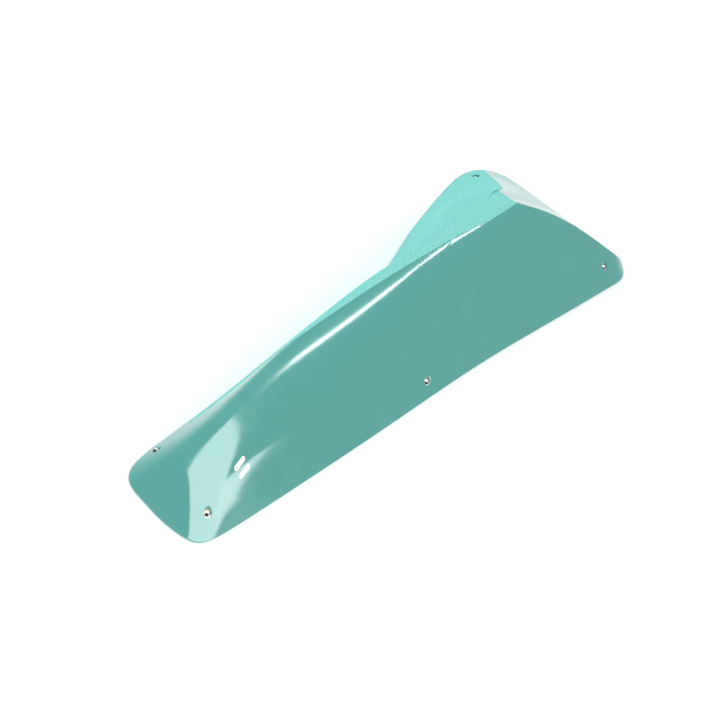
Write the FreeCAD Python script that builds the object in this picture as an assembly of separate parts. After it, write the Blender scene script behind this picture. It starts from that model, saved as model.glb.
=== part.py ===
import FreeCAD, Part
import math
import os
from typing import NamedTuple

from FreeCAD import Rotation, Vector

# A bolt-on climbing macro: a hollow glass fibre volume that is screwed flat to a climbing wall.
# Millimetres. The wall is the plane z = 0 and +Z points away from it. X runs from the slim nose to
# the wide end, and Y from the glossy front face to the textured back.

# Overall sizes
LENGTH = 1200.0
WIDTH = 380.0
HEIGHT = 185.0          # ridge height where the three faces meet

# Walls
GELCOAT = 0.8
LAMINATE = 4.2
TEXTURE = 0.6           # build-up of the grip texture over the gelcoat
MARK = 0.15             # build-up of the printed mark
RIM_EDGE = 4.0          # straight edge all round where the shell meets the wall
TEXTURE_MARGIN = 1.5    # bare gelcoat left between the texture and the rim
OUTLINE_STEP = 8.0      # distance between the points that the rim's line is drawn through
OUTLINE_EDGE = 12       # steps in each edge of the rim's line

# Screw places
MOUTH_R = 6.5           # moulded recess
RECESS_DEPTH = 6.0      # from the surface, on the hole's axis, to the cup's rim
CUP_HEIGHT = 7.0
CUP_WALL_R = 4.6        # top of the cup's countersink
SCREW_R = 2.75          # clearance for a 5 mm wood screw
SINK_DEPTH = 2.0
CUP_FIT = 0.05          # radial clearance of the cup in its seat
BLOCK_LENGTH = 64.0
BLOCK_WIDTH = 44.0
BLOCK_SKIRT = 0.5       # blocks and ribs stop this far above the wall, so that the rim seats first

# Plywood
RIB_THICKNESS = 12.0
SPINE_THICKNESS = 9.0
RIB_PLACES = (0.20, 0.42, 0.66)     # share of the length
SPINE_START = 0.07                  # share of the length
WINDOW_R = 22.0                     # round window in each rib, in front of the spine
WINDOW_REACH = 40.0                 # from the spine to the window's middle
WINDOW_RISE = 0.3                   # height of the window's middle, share of the ridge height

# Slope of the nose and of the wide end's front corner, and how far their rounds reach into the body
NOSE_SLOPE = 58.0
NOSE_ROUND_FRONT = 26.0
NOSE_ROUND_BACK = 40.0
NOSE_CHANGE = (0.07, 0.41)          # the round changes between these shares of the width
CORNER_ROUND = 9.0
CORNER_SLOPE = 47.0

# Points that the body's top is drawn through
GRID_ALONG = 58
GRID_ACROSS = ((22, 0.0, 0.62), (34, 0.63, 1.0))    # count, from and to a share of the local width
FACE_MARGIN = 0.045     # how far the faces run on beyond the outline
END_RAILS = (-0.05, 1.12)           # where the end face starts and stops, share of the length


class Station(NamedTuple):
    """One cross-section. Places are shares of the overall sizes, rounds are millimetres."""

    at: float           # share of the length from the nose
    front: float        # front edge on the wall, share of the width
    ridge: float        # height of the ridge strip, share of the height
    front_run: float    # plan distance that the front face needs to climb to the ridge
    back: float         # back edge on the wall
    back_run: float     # plan distance that the back face needs to climb to the ridge
    front_round: float
    back_round: float
    crest: float        # place of the ridge line


STATIONS = (
    Station(-0.03, 0.003, 0.490, 0.172, 0.455, 0.108, 24, 14, 0.260),
    Station(0.10, 0.000, 0.543, 0.205, 0.497, 0.108, 26, 12, 0.290),
    Station(0.22, 0.005, 0.604, 0.255, 0.551, 0.076, 28, 9, 0.343),
    Station(0.35, 0.015, 0.682, 0.310, 0.622, 0.072, 26, 8, 0.411),
    Station(0.47, 0.028, 0.760, 0.369, 0.670, 0.076, 24, 7, 0.462),
    Station(0.57, 0.037, 0.825, 0.416, 0.718, 0.086, 20, 6, 0.501),
    Station(0.64, 0.038, 0.881, 0.444, 0.811, 0.108, 14, 6, 0.529),
    Station(0.71, 0.034, 0.941, 0.475, 0.892, 0.214, 8, 7, 0.554),
    Station(0.79, 0.028, 1.022, 0.515, 0.971, 0.417, 5, 8, 0.582),
    Station(0.86, 0.023, 1.107, 0.558, 0.996, 0.583, 4, 8, 0.609),
    Station(0.93, 0.019, 1.210, 0.610, 0.890, 0.705, 4, 8, 0.637),
    Station(1.03, 0.008, 1.340, 0.680, 0.640, 0.780, 4, 8, 0.665),
)

# Nose edge on the wall: share of the width, share of the length
NOSE_EDGE = ((-0.06, 0.022), (0.04, 0.019), (0.11, 0.014), (0.20, 0.007), (0.30, 0.002),
             (0.38, -0.002), (0.48, -0.005))

# Wide end on the wall: share of the width, share of the length, slope of the end face in degrees
WIDE_EDGE = ((-0.04, 1.022, 40.5), (0.13, 1.003, 41.2), (0.28, 0.987, 41.4), (0.46, 0.966, 38.6),
             (0.56, 0.955, 35.8), (0.65, 0.945, 35.6), (0.77, 0.932, 33.9), (0.83, 0.924, 32.2),
             (0.89, 0.914, 29.6), (0.945, 0.898, 27.7), (1.0, 0.873, 26.0))
WIDE_EDGE_SKEW = 0.943  # cosine of the angle that the wide edge makes with the Y axis

# Rounded front corner of the wide end: a point on the rim and the way the corner faces
CORNER_AT = (0.992, 0.068)
CORNER_FACING = -35.0

# Front limit of the grip texture: share of the length, share of the width
TEXTURE_LIMIT = ((0.12, 0.478), (0.16, 0.488), (0.20, 0.495), (0.25, 0.502), (0.32, 0.518),
                 (0.40, 0.535), (0.48, 0.547), (0.56, 0.552), (0.63, 0.549), (0.69, 0.537),
                 (0.75, 0.545), (0.90, 0.60))

# Screw holes: name, share of the length, share of the width
SCREWS = (
    ("nose_front", 0.054, 0.093),
    ("nose_back", 0.052, 0.447),
    ("middle_front", 0.478, 0.092),
    ("wide_front", 0.928, 0.116),
    ("lobe", 0.838, 0.928),
)

# Printed mark: two rounded bars, centred at a share of the length and width
MARK_AT = (0.119, 0.163)
MARK_BAR = (26.0, 7.0)
MARK_GAP = 6.0
MARK_TURN = 20.0


class Curve:
    """A smooth function through (x, y) points, straight beyond its ends."""

    def __init__(self, points):
        self.x = [p[0] for p in points]
        self.y = [p[1] for p in points]
        self.bend = self._bends()

    def _bends(self):
        """Second derivatives of the natural cubic spline, from its three-term equations."""
        x, y, n = self.x, self.y, len(self.x)
        upper, right = [0.0] * n, [0.0] * n
        for i in range(1, n - 1):
            before, after = x[i] - x[i - 1], x[i + 1] - x[i]
            change = (y[i + 1] - y[i]) / after - (y[i] - y[i - 1]) / before
            pivot = 2 * (before + after) - before * upper[i - 1]
            upper[i] = after / pivot
            right[i] = (6 * change - before * right[i - 1]) / pivot
        bend = [0.0] * n
        for i in range(n - 2, 0, -1):
            bend[i] = right[i] - upper[i] * bend[i + 1]
        return bend

    def __call__(self, at):
        x, y, m = self.x, self.y, self.bend
        i = 0
        while i < len(x) - 2 and at > x[i + 1]:
            i += 1
        step = x[i + 1] - x[i]
        rise = (y[i + 1] - y[i]) / step
        if at < x[0]:
            return y[0] + (at - x[0]) * (rise - m[1] * step / 6)
        if at > x[-1]:
            return y[-1] + (at - x[-1]) * (rise + m[i] * step / 6)
        a, b = (x[i + 1] - at) / step, (at - x[i]) / step
        curved = ((a ** 3 - a) * m[i] + (b ** 3 - b) * m[i + 1]) * step ** 2 / 6
        return a * y[i] + b * y[i + 1] + curved


def station_curve(field, scale=1.0):
    """A station's field as a function of x."""
    return Curve([(s.at * LENGTH, getattr(s, field) * scale) for s in STATIONS])


front_edge = station_curve("front", WIDTH)
back_edge = station_curve("back", WIDTH)
ridge_height = station_curve("ridge", HEIGHT)
front_run = station_curve("front_run", WIDTH)
back_run = station_curve("back_run", WIDTH)
front_round = station_curve("front_round")
back_round = station_curve("back_round")
nose_edge = Curve([(y * WIDTH, x * LENGTH) for y, x in NOSE_EDGE])
wide_edge = Curve([(y * WIDTH, x * LENGTH) for y, x, _ in WIDE_EDGE])
wide_slope = Curve([(y * WIDTH, slope) for y, _, slope in WIDE_EDGE])
texture_limit = Curve([(x * LENGTH, y * WIDTH) for x, y in TEXTURE_LIMIT])


def smooth_min(a, b, blend):
    """The lower of two heights, with a rounded change from one to the other."""
    return min(a, b) - blend * math.log1p(math.exp(-abs(a - b) / blend))


def inset(face_height, slope_tangent, offset):
    """A sloped face's height after the face moves inwards by offset."""
    return face_height - offset * math.hypot(1.0, slope_tangent)


def body_height(x, y, offset=0.0):
    """Height of the long body over the wall at a plan point, without its wide end face."""
    ridge = ridge_height(x)
    climb, fall = ridge / front_run(x), ridge / back_run(x)
    front = inset((y - front_edge(x)) * climb, climb, offset)
    back = inset((back_edge(x) - y) * fall, fall, offset)
    top = ridge - offset
    height = smooth_min(smooth_min(front, top, front_round(x)), back, back_round(x))
    nose_climb = math.tan(math.radians(NOSE_SLOPE))
    nose = inset((x - nose_edge(y)) * nose_climb, nose_climb, offset)
    start, stop = NOSE_CHANGE
    share = min(max((y / WIDTH - start) / (stop - start), 0.0), 1.0)
    share = share * share * (3 - 2 * share)
    height = smooth_min(height, nose, NOSE_ROUND_FRONT + (NOSE_ROUND_BACK - NOSE_ROUND_FRONT) * share)
    turn = math.radians(CORNER_FACING)
    out = (x - CORNER_AT[0] * LENGTH) * math.cos(turn) + (y - CORNER_AT[1] * WIDTH) * math.sin(turn)
    corner_climb = math.tan(math.radians(CORNER_SLOPE))
    return smooth_min(height, inset(-out * corner_climb, corner_climb, offset), CORNER_ROUND)


def surface_height(x, y):
    """Height of the outside at a plan point, rim edge included."""
    across = (wide_edge(y) - x) * WIDE_EDGE_SKEW
    end = across * math.tan(math.radians(wide_slope(y)))
    return RIM_EDGE + min(body_height(x, y), end)


def spread(count, start, stop):
    return [start + (stop - start) * i / (count - 1) for i in range(count)]


def under(face, depth=2 * LENGTH):
    """The solid below a face."""
    return face.extrude(Vector(0, 0, -depth))


def body_face(offset, lift):
    """The long body's top as one smooth face, wider than the body all round."""
    shares = [share for limits in GRID_ACROSS for share in spread(*limits)]
    rows = []
    for x in spread(GRID_ALONG, -FACE_MARGIN * LENGTH, (1 + FACE_MARGIN) * LENGTH):
        low, high = front_edge(x) - FACE_MARGIN * WIDTH, back_edge(x) + FACE_MARGIN * WIDTH
        row = []
        for share in shares:
            y = low + (high - low) * share
            row.append(Vector(x, y, body_height(x, y, offset) + lift))
        rows.append(row)
    surface = Part.BSplineSurface()
    surface.interpolate(rows)
    return surface.toShape()


def end_face(offset, lift):
    """The wide end's face: straight lines from its edge on the wall, a little twisted."""
    places = spread(16, -0.15 * WIDTH, 1.15 * WIDTH)
    rails = []
    for share in END_RAILS:
        across = share * LENGTH
        points = []
        for y in places:
            climb = math.tan(math.radians(wide_slope(y)))
            x = wide_edge(y) - across / WIDE_EDGE_SKEW
            points.append(Vector(x, y, inset(across * climb, climb, offset) + lift))
        rail = Part.BSplineCurve()
        rail.interpolate(Points=points, Parameters=places)
        rails.append(rail.toShape())
    return Part.makeRuledSurface(rails[0], rails[1])


def outline(offset):
    """The closed line in which the body meets the wall, in short edges."""
    low = under(body_face(offset, 0.0)).common(under(end_face(offset, 0.0)))
    wire = max(low.slice(Vector(0, 0, 1), 0.0), key=lambda w: w.Length)
    corners = [v.Point for v in wire.Vertexes]
    pieces = []
    for edge in wire.Edges:
        points = edge.discretize(round(edge.Length / OUTLINE_STEP) + 1)
        for i in (0, -1):
            points[i] = min(corners, key=points[i].distanceToPoint)
        curve = Part.BSplineCurve()
        curve.interpolate(points)
        knots = curve.getKnots()
        cuts = knots[:-OUTLINE_EDGE:OUTLINE_EDGE] + knots[-1:]
        pieces += [curve.toShape(start, stop) for start, stop in zip(cuts, cuts[1:])]
    return Part.Wire(Part.__sortEdges__(pieces))


def outline_prism(offset):
    """An upright prism on the body's outline."""
    return Part.Face(outline(offset)).extrude(Vector(0, 0, 3 * HEIGHT))


def outline_centre():
    """The middle of the outline's box, which is the part's origin."""
    points = outline(0.0).discretize(Distance=1.0)
    along = [p.x for p in points]
    across = [p.y for p in points]
    return Vector((min(along) + max(along)) / 2, (min(across) + max(across)) / 2, 0)


def mound(offset):
    """The solid under the outside, moved inwards by offset, with its upright rim edge."""
    top = under(body_face(offset, RIM_EDGE)).common(under(end_face(offset, RIM_EDGE)))
    return top.common(outline_prism(offset))


def drill(x, y, radius, low, high):
    return Part.makeCylinder(radius, high - low, Vector(x, y, low))


class Screw(NamedTuple):
    """A screw place: its axis, and the height of its cup's rim."""

    name: str
    x: float
    y: float
    seat: float


def screws():
    places = []
    for name, along, across in SCREWS:
        x, y = along * LENGTH, across * WIDTH
        places.append(Screw(name, x, y, surface_height(x, y) - RECESS_DEPTH))
    return places


def cup(screw):
    """A turned steel screw cup with a countersunk mouth."""
    low = screw.seat - CUP_HEIGHT
    body = drill(screw.x, screw.y, MOUTH_R - CUP_FIT, low, screw.seat)
    sink = Part.makeCone(SCREW_R, CUP_WALL_R, SINK_DEPTH, Vector(screw.x, screw.y, screw.seat - SINK_DEPTH))
    return body.cut(drill(screw.x, screw.y, SCREW_R, low, screw.seat)).cut(sink)


def block(screw, cavity):
    """A hardwood block that fills the cavity round a screw, with the cup's seat and the screw's hole."""
    corner = Vector(screw.x - BLOCK_LENGTH / 2, screw.y - BLOCK_WIDTH / 2, BLOCK_SKIRT)
    wood = Part.makeBox(BLOCK_LENGTH, BLOCK_WIDTH, HEIGHT, corner).common(cavity)
    seat = drill(screw.x, screw.y, MOUTH_R, screw.seat - CUP_HEIGHT, HEIGHT)
    return wood.cut(seat).cut(drill(screw.x, screw.y, SCREW_R, 0, HEIGHT))


def rib(at, cavity):
    """A plywood cross rib that fills the cavity, with a round window in front of the spine."""
    x = at * LENGTH
    low = Vector(x - RIB_THICKNESS / 2, -WIDTH, BLOCK_SKIRT)
    board = Part.makeBox(RIB_THICKNESS, 3 * WIDTH, 2 * HEIGHT, low).common(cavity)
    middle = Vector(low.x, spine_line(x) - WINDOW_REACH, WINDOW_RISE * ridge_height(x))
    return board.cut(Part.makeCylinder(WINDOW_R, RIB_THICKNESS, middle, Vector(1, 0, 0)))


def spine_line(x):
    """Plan place of the spine, on a straight line below the ridge."""
    nose, wide = STATIONS[1], STATIONS[7]
    share = (x / LENGTH - nose.at) / (wide.at - nose.at)
    return WIDTH * (nose.crest + (wide.crest - nose.crest) * share)


def spine_boxes():
    """Three lengths of spine, cut square to the cross ribs' faces."""
    ends = [SPINE_START * LENGTH] + [p * LENGTH for p in RIB_PLACES]
    boxes = []
    for i, start in enumerate(ends[:-1]):
        low = start + (RIB_THICKNESS / 2 if i else 0.0)
        high = ends[i + 1] - RIB_THICKNESS / 2
        half = SPINE_THICKNESS / 2
        corners = [(low, -half), (high, -half), (high, half), (low, half), (low, -half)]
        points = [Vector(x, spine_line(x) + side, BLOCK_SKIRT) for x, side in corners]
        boxes.append(Part.Face(Part.makePolygon(points)).extrude(Vector(0, 0, 2 * HEIGHT)))
    return boxes


def largest(shape):
    """The main solid of a cut, without crumbs."""
    return max(shape.Solids, key=lambda s: s.Volume)


def texture_region():
    """An upright prism over the part of the outside that carries the grip texture."""
    points = [Vector(x, texture_limit(x), 0) for x in spread(24, TEXTURE_LIMIT[0][0] * LENGTH, LENGTH)]
    limit = Part.BSplineCurve()
    limit.interpolate(points)
    far = 2 * WIDTH
    start, stop = points[0], points[-1]
    sides = [
        Part.makeLine(stop, Vector(stop.x, far, 0)),
        Part.makeLine(Vector(stop.x, far, 0), Vector(start.x, far, 0)),
        Part.makeLine(Vector(start.x, far, 0), start),
    ]
    return Part.Face(Part.Wire([limit.toShape()] + sides)).extrude(Vector(0, 0, 3 * HEIGHT))


def mark_prism():
    """Two upright bars with round ends, side by side."""
    length, width = MARK_BAR
    centre = Vector(MARK_AT[0] * LENGTH, MARK_AT[1] * WIDTH, 0)
    turn = FreeCAD.Placement(centre, Rotation(Vector(0, 0, 1), MARK_TURN))
    bars = []
    for side in (-1, 1):
        y = side * (width + MARK_GAP) / 2
        half = length / 2 - width / 2
        bar = Part.makeBox(2 * half, width, 3 * HEIGHT, Vector(-half, y - width / 2, 0))
        for end in (-half, half):
            bar = bar.fuse(Part.makeCylinder(width / 2, 3 * HEIGHT, Vector(end, y, 0)))
        bar = bar.removeSplitter()
        bar.Placement = turn
        bars.append(bar)
    return Part.Compound(bars)


def save(name, shape, centre):
    solids = shape.Solids
    moved = [s.translated(-centre) for s in solids]
    result = moved[0] if len(moved) == 1 else Part.Compound(moved)
    result.exportStep("parts/" + name + ".step")
    print(name, len(solids), "solid(s)", round(sum(s.Volume for s in solids) / 1000, 2), "cm3",
          "valid" if result.isValid() else "NOT VALID")


def main():
    os.makedirs("parts", exist_ok=True)
    outside = mound(0.0)
    under_gelcoat = mound(GELCOAT)
    cavity = mound(GELCOAT + LAMINATE)
    centre = outline_centre()
    print("origin", round(centre.x, 3), round(centre.y, 3))

    places = screws()
    recesses = Part.Compound([drill(s.x, s.y, MOUTH_R, s.seat - CUP_HEIGHT, 2 * HEIGHT) for s in places])
    gelcoat = outside.cut(under_gelcoat).cut(recesses)
    screw_holes = Part.Compound([drill(s.x, s.y, SCREW_R, 0, s.seat) for s in places])
    laminate = under_gelcoat.cut(cavity).cut(recesses).cut(screw_holes)
    save("gelcoat_skin", largest(gelcoat), centre)
    save("laminate_shell", largest(laminate), centre)

    raised = under(body_face(-TEXTURE, RIM_EDGE)).common(under(end_face(0.0, RIM_EDGE)))
    base = under(body_face(0.0, RIM_EDGE))
    bounds = outline_prism(TEXTURE_MARGIN).common(texture_region())
    texture = raised.common(bounds).cut(base).cut(recesses)
    save("grip_texture", largest(texture), centre)

    mark = under(body_face(-MARK, RIM_EDGE)).common(mark_prism()).cut(base)
    save("printed_mark", mark, centre)

    for screw in places:
        save(screw.name + "_screw_cup", cup(screw), centre)
        save(screw.name + "_block", largest(block(screw, cavity)), centre)

    for name, at in zip(("nose_rib", "middle_rib", "wide_rib"), RIB_PLACES):
        save(name, largest(rib(at, cavity)), centre)
    for name, room in zip(("nose_spine", "middle_spine", "wide_spine"), spine_boxes()):
        save(name, largest(room.common(cavity)), centre)


main()
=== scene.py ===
"""Looks of a bolt-on climbing macro: glossy gelcoat shell, gritty back, wooden inside."""

import logging
import math
from dataclasses import dataclass, field
from enum import Enum
from typing import Callable, Optional

import bpy
import numpy as np
from mathutils import Matrix, Vector


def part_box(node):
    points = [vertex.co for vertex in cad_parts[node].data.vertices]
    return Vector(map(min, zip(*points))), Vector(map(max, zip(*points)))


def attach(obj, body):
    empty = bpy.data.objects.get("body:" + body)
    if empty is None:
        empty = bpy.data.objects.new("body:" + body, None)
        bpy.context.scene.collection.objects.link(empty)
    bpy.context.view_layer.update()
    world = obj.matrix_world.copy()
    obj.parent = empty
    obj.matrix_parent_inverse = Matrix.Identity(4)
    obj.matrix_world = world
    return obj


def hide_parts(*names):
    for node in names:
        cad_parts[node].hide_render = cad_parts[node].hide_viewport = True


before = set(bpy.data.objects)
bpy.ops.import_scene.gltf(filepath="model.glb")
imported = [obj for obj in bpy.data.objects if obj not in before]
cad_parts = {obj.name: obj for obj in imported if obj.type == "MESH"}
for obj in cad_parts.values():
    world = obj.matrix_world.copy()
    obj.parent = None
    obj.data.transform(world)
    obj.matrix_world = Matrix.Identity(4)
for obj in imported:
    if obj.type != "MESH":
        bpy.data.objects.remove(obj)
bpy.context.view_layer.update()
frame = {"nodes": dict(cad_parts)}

log = logging.getLogger("climbing_macro")

MM = 0.001
ROOT = "root"

Array = np.ndarray


# --------------------------------------------------------------------------------------------
# Form of the body, in millimetres from the drawing's own corner
# --------------------------------------------------------------------------------------------


class Curve:
    """A natural cubic spline through (x, y) points, straight beyond its ends."""

    def __init__(self, x: list[float], y: list[float]) -> None:
        """Solve the spline's bends.

        Args:
            x: Places, rising.
            y: Values at those places.
        """
        self.x = np.asarray(x, float)
        self.y = np.asarray(y, float)
        step = np.diff(self.x)
        rise = np.diff(self.y) / step
        count = len(self.x)
        system = np.eye(count)
        right = np.zeros(count)
        for i in range(1, count - 1):
            system[i, i - 1:i + 2] = step[i - 1], 2 * (step[i - 1] + step[i]), step[i]
            right[i] = 6 * (rise[i] - rise[i - 1])
        self.bend = np.linalg.solve(system, right)
        self.first = rise[0] - self.bend[1] * step[0] / 6
        self.last = rise[-1] + self.bend[-2] * step[-1] / 6

    def __call__(self, at: Array) -> Array:
        """Evaluate the curve.

        Args:
            at: Places, of any shape.

        Returns:
            Values of the same shape.
        """
        at = np.asarray(at, float)
        i = np.clip(np.searchsorted(self.x, at) - 1, 0, len(self.x) - 2)
        step = self.x[i + 1] - self.x[i]
        a = (self.x[i + 1] - at) / step
        b = 1 - a
        curved = ((a ** 3 - a) * self.bend[i] + (b ** 3 - b) * self.bend[i + 1]) * step ** 2 / 6
        inside = a * self.y[i] + b * self.y[i + 1] + curved
        low = self.y[0] + (at - self.x[0]) * self.first
        high = self.y[-1] + (at - self.x[-1]) * self.last
        return np.where(at < self.x[0], low, np.where(at > self.x[-1], high, inside))


def smooth_min(a: Array, b: Array, blend: Array) -> Array:
    """The lower of two heights, with a rounded change from one to the other."""
    return np.minimum(a, b) - blend * np.log1p(np.exp(-np.abs(a - b) / blend))


def inset(height: Array, climb: Array, offset: float) -> Array:
    """A sloped face's height after the face moves inwards by offset."""
    return height - offset * np.hypot(1.0, climb)


def ease(share: Array) -> Array:
    """A smooth step from 0 to 1."""
    share = np.clip(share, 0.0, 1.0)
    return share * share * (3 - 2 * share)


@dataclass(frozen=True)
class BodyForm:
    """The macro's outer form as a height over the wall, in millimetres."""

    length: float = 1200.0
    width: float = 380.0
    ridge_top: float = 185.0
    rim_edge: float = 4.0
    nose_slope: float = 58.0
    nose_round: tuple[float, float] = (26.0, 40.0)
    nose_change: tuple[float, float] = (0.07, 0.41)
    corner_at: tuple[float, float] = (0.992, 0.068)
    corner_facing: float = -35.0
    corner_slope: float = 47.0
    corner_round: float = 9.0
    crease_round: float = 0.7
    end_skew: float = 0.943
    # place, front, ridge, front run, back, back run, front round, back round
    stations: tuple[tuple[float, ...], ...] = (
        (-0.03, 0.003, 0.490, 0.172, 0.455, 0.108, 24, 14),
        (0.10, 0.000, 0.543, 0.205, 0.497, 0.108, 26, 12),
        (0.22, 0.005, 0.604, 0.255, 0.551, 0.076, 28, 9),
        (0.35, 0.015, 0.682, 0.310, 0.622, 0.072, 26, 8),
        (0.47, 0.028, 0.760, 0.369, 0.670, 0.076, 24, 7),
        (0.57, 0.037, 0.825, 0.416, 0.718, 0.086, 20, 6),
        (0.64, 0.038, 0.881, 0.444, 0.811, 0.108, 14, 6),
        (0.71, 0.034, 0.941, 0.475, 0.892, 0.214, 8, 7),
        (0.79, 0.028, 1.022, 0.515, 0.971, 0.417, 5, 8),
        (0.86, 0.023, 1.107, 0.558, 0.996, 0.583, 4, 8),
        (0.93, 0.019, 1.210, 0.610, 0.890, 0.705, 4, 8),
        (1.03, 0.008, 1.340, 0.680, 0.640, 0.780, 4, 8),
    )
    nose_line: tuple[tuple[float, float], ...] = (
        (-0.06, 0.022), (0.04, 0.019), (0.11, 0.014), (0.20, 0.007), (0.30, 0.002),
        (0.38, -0.002), (0.48, -0.005),
    )
    wide_line: tuple[tuple[float, float, float], ...] = (
        (-0.04, 1.022, 40.5), (0.13, 1.003, 41.2), (0.28, 0.987, 41.4), (0.46, 0.966, 38.6),
        (0.56, 0.955, 35.8), (0.65, 0.945, 35.6), (0.77, 0.932, 33.9), (0.83, 0.924, 32.2),
        (0.89, 0.914, 29.6), (0.945, 0.898, 27.7), (1.0, 0.873, 26.0),
    )
    grit_line: tuple[tuple[float, float], ...] = (
        (0.12, 0.478), (0.16, 0.488), (0.20, 0.495), (0.25, 0.502), (0.32, 0.518), (0.40, 0.535),
        (0.48, 0.547), (0.56, 0.552), (0.63, 0.549), (0.69, 0.537), (0.75, 0.545), (0.90, 0.60),
    )
    screws: tuple[tuple[str, float, float], ...] = (
        ("nose_front", 0.054, 0.093),
        ("nose_back", 0.052, 0.447),
        ("middle_front", 0.478, 0.092),
        ("wide_front", 0.928, 0.116),
        ("lobe", 0.838, 0.928),
    )
    curves: dict[str, Curve] = field(default_factory=dict)

    def __post_init__(self) -> None:
        """Draw every curve of the tables once."""
        place = [s[0] * self.length for s in self.stations]
        names = ("front", "ridge", "front_run", "back", "back_run", "front_round", "back_round")
        scales = (self.width, self.ridge_top, self.width, self.width, self.width, 1.0, 1.0)
        for column, (name, scale) in enumerate(zip(names, scales), start=1):
            self.curves[name] = Curve(place, [s[column] * scale for s in self.stations])
        across = [p[0] * self.width for p in self.nose_line]
        self.curves["nose"] = Curve(across, [p[1] * self.length for p in self.nose_line])
        across = [p[0] * self.width for p in self.wide_line]
        self.curves["wide"] = Curve(across, [p[1] * self.length for p in self.wide_line])
        self.curves["wide_slope"] = Curve(across, [p[2] for p in self.wide_line])
        along = [p[0] * self.length for p in self.grit_line]
        self.curves["grit"] = Curve(along, [p[1] * self.width for p in self.grit_line])

    def body(self, x: Array, y: Array, offset: float = 0.0) -> Array:
        """Height of the long body without its end face and rim edge.

        Args:
            x: Places along the body.
            y: Places across the body.
            offset: How far the surface moves inwards.

        Returns:
            Heights of the same shape.
        """
        c = self.curves
        ridge = c["ridge"](x)
        climb, fall = ridge / c["front_run"](x), ridge / c["back_run"](x)
        front = inset((y - c["front"](x)) * climb, climb, offset)
        back = inset((c["back"](x) - y) * fall, fall, offset)
        height = smooth_min(front, ridge - offset, c["front_round"](x))
        height = smooth_min(height, back, c["back_round"](x))
        nose_climb = math.tan(math.radians(self.nose_slope))
        nose = inset((x - c["nose"](y)) * nose_climb, nose_climb, offset)
        start, stop = self.nose_change
        share = ease((y / self.width - start) / (stop - start))
        low, high = self.nose_round
        height = smooth_min(height, nose, low + (high - low) * share)
        turn = math.radians(self.corner_facing)
        out_x = (x - self.corner_at[0] * self.length) * math.cos(turn)
        out_y = (y - self.corner_at[1] * self.width) * math.sin(turn)
        climb = math.tan(math.radians(self.corner_slope))
        corner = inset(-(out_x + out_y) * climb, climb, offset)
        return smooth_min(height, corner, self.corner_round)

    def end(self, x: Array, y: Array, offset: float = 0.0) -> Array:
        """Height of the wide end's face."""
        climb = np.tan(np.radians(self.curves["wide_slope"](y)))
        return inset((self.curves["wide"](y) - x) * self.end_skew * climb, climb, offset)

    def height(self, x: Array, y: Array, offset: float = 0.0) -> Array:
        """Height of the whole surface over the wall."""
        top = smooth_min(self.body(x, y, offset), self.end(x, y, offset), self.crease_round)
        return self.rim_edge + top

    def root(self, gap: Callable[[Array], Array], low: Array, high: Array) -> Array:
        """Where a rising gap function passes through nought.

        Args:
            gap: Function of x, of one value per row.
            low: Places where the gap is below nought.
            high: Places where it is above.

        Returns:
            The crossing places.
        """
        low, high = low.copy(), high.copy()
        for _ in range(48):
            middle = (low + high) / 2
            above = gap(middle) > 0
            high = np.where(above, middle, high)
            low = np.where(above, low, middle)
        return (low + high) / 2


# --------------------------------------------------------------------------------------------
# Small helpers on Blender's operators
# --------------------------------------------------------------------------------------------


def deselect_all() -> None:
    """Leave no object selected and none active."""
    if bpy.context.object and bpy.context.object.mode != "OBJECT":
        bpy.ops.object.mode_set(mode="OBJECT")
    bpy.ops.object.select_all(action="DESELECT")
    bpy.context.view_layer.objects.active = None


def only(obj: bpy.types.Object) -> None:
    """Select one object and make it active."""
    deselect_all()
    obj.select_set(True)
    bpy.context.view_layer.objects.active = obj


def apply(obj: bpy.types.Object, kind: str, **settings: object) -> None:
    """Add a modifier with its settings and apply it.

    Args:
        obj: The piece.
        kind: The modifier's type.
        **settings: Its properties.
    """
    only(obj)
    modifier = obj.modifiers.new(kind.lower(), kind)
    for name, value in settings.items():
        setattr(modifier, name, value)
    bpy.ops.object.modifier_apply(modifier=modifier.name)


def finish(obj: bpy.types.Object, slot: str, *nodes: str, angle: float = 32.0) -> None:
    """Smooth a piece, hang it under the root and hide the CAD nodes that it replaces.

    Args:
        obj: The piece.
        slot: The record's material slot; not used.
        *nodes: CAD nodes that it replaces.
        angle: Edges sharper than this stay sharp, in degrees.
    """
    only(obj)
    bpy.ops.object.shade_smooth_by_angle(angle=math.radians(angle))
    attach(obj, ROOT)
    if nodes:
        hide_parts(*nodes)
    log.info("%s: %d faces", obj.name, len(obj.data.polygons))


def coordinates(obj: bpy.types.Object) -> Array:
    """A mesh's vertex places."""
    flat = np.empty(len(obj.data.vertices) * 3)
    obj.data.vertices.foreach_get("co", flat)
    return flat.reshape(-1, 3)


def move_to(obj: bpy.types.Object, places: Array) -> None:
    """Give every vertex of a mesh its place."""
    obj.data.vertices.foreach_set("co", np.asarray(places, float).ravel())
    obj.data.update()


def select_where(obj: bpy.types.Object, vertices: Optional[Array] = None,
                 faces: Optional[Array] = None) -> None:
    """Select vertices or faces by a mask and go to edit mode.

    Args:
        obj: The piece.
        vertices: One flag per vertex.
        faces: One flag per face.
    """
    only(obj)
    mesh = obj.data
    mesh.polygons.foreach_set("select", np.zeros(len(mesh.polygons), bool))
    mesh.edges.foreach_set("select", np.zeros(len(mesh.edges), bool))
    mesh.vertices.foreach_set("select", np.zeros(len(mesh.vertices), bool))
    mode = "VERT"
    if vertices is not None:
        mesh.vertices.foreach_set("select", vertices)
    if faces is not None:
        mode = "FACE"
        mesh.polygons.foreach_set("select", faces)
    bpy.ops.object.mode_set(mode="EDIT")
    bpy.ops.mesh.select_mode(type=mode)


def object_mode() -> None:
    """Back to object mode."""
    bpy.ops.object.mode_set(mode="OBJECT")


# --------------------------------------------------------------------------------------------
# Finishes
# --------------------------------------------------------------------------------------------


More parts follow.
